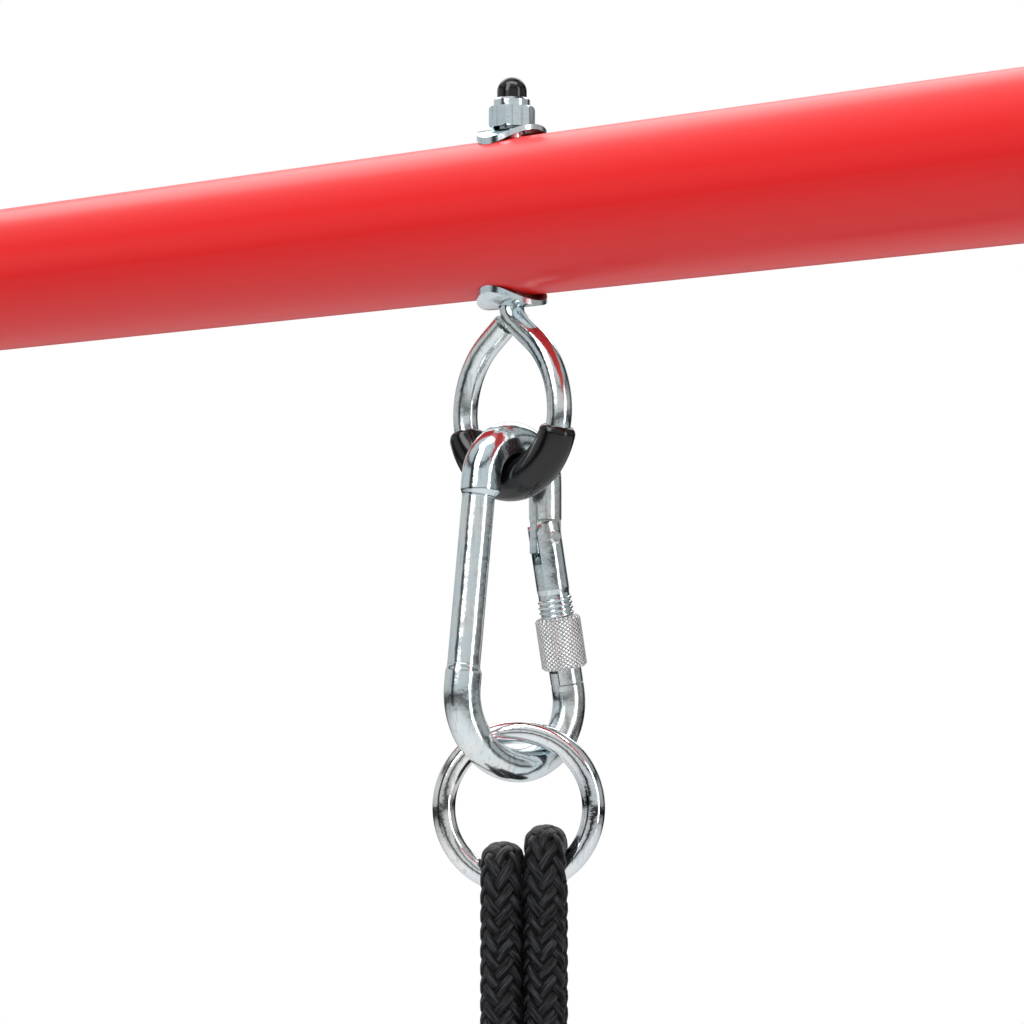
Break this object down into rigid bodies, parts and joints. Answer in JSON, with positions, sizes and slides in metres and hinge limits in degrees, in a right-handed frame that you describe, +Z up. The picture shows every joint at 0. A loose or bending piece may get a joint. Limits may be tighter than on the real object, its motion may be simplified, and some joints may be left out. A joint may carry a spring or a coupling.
{
  "type": "swing beam hanging point",
  "caption": "Round painted beam with a bent eye bolt, wear sleeve, screw-lock snap hook, welded ring and doubled braided ropes held in a sandwich clamp.",
  "frame": {"origin": "on the beam's axis, where the eye bolt crosses it", "axes": "+X along the beam, +Z up; the ropes hang towards -Z"},
  "size_m": [0.43, 0.0445, 0.281],
  "materials": {
    "red_powder_coat": "gloss powder coat",
    "zinc_plate": "bright zinc plate",
    "knurled_steel": "diamond knurl, satin",
    "polished_ring": "polished plating",
    "spring_steel": "drawn wire",
    "black_plastic": "moulded, glossy",
    "black_cap": "moulded, glossy",
    "nylon": "natural nylon",
    "clamp_plastic": "moulded, fine texture",
    "black_rope": "braided multifilament"
  },
  "bodies": {
    "beam": {"beam_tube": "red_powder_coat", "upper_saddle_washer": "zinc_plate", "lower_saddle_washer": "zinc_plate", "lock_nut": "zinc_plate", "nut_insert": "nylon", "thread_cap": "black_cap", "eye_bolt": "zinc_plate", "wear_sleeve": "black_plastic"},
    "hook": {"hook_body": "zinc_plate"},
    "gate": {"gate_body": "zinc_plate", "gate_rivet": "zinc_plate", "gate_spring": "spring_steel"},
    "plunger": {"gate_plunger": "spring_steel"},
    "lock": {"lock_sleeve": "knurled_steel"},
    "ring": {"ring": "polished_ring"},
    "ropes": {"rope_left": "black_rope", "rope_right": "black_rope", "left_clamp_plate": "clamp_plastic", "centre_clamp_plate": "clamp_plastic", "right_clamp_plate": "clamp_plastic", "clamp_screws": "zinc_plate", "clamp_nuts": "zinc_plate"}
  },
  "joints": [
    {"name": "hook_swing", "type": "hinge", "parent": "beam", "child": "hook", "pos_m": [0, 0, -0.0632], "axis": [1, 0, 0], "range_deg": [-60, 60]},
    {"name": "gate_swing", "type": "hinge", "parent": "hook", "child": "gate", "pos_m": [0.00124, 0.01012, -0.0768], "axis": [-0.9925, 0.1219, 0], "range_deg": [0, 26], "stiffness_Nm_per_rad": 0.05, "springref_deg": -17.19},
    {"name": "plunger_slide", "type": "slide", "parent": "gate", "child": "plunger", "axis": [0.023, 0.1871, -0.9821], "range_m": [0, 0.0012], "deforming": ["gate_spring"]},
    {"name": "lock_travel", "type": "slide", "parent": "gate", "child": "lock", "axis": [0.023, 0.1871, -0.9821], "range_m": [-0.005, 0.0052]},
    {"name": "ring_swing", "type": "hinge", "parent": "hook", "child": "ring", "pos_m": [0.00024, 0.00199, -0.1318], "axis": [-0.1219, -0.9925, 0], "range_deg": [-18, 18]},
    {"name": "rope_swing", "type": "hinge", "parent": "ring", "child": "ropes", "pos_m": [0.00024, 0.00199, -0.1599], "axis": [0.7986, 0.6018, 0], "range_deg": [-22, 22]}
  ],
  "couplings": [
    {"joint": "plunger_slide", "follows": "gate_swing", "m_per_rad": 0.0022}
  ]
}
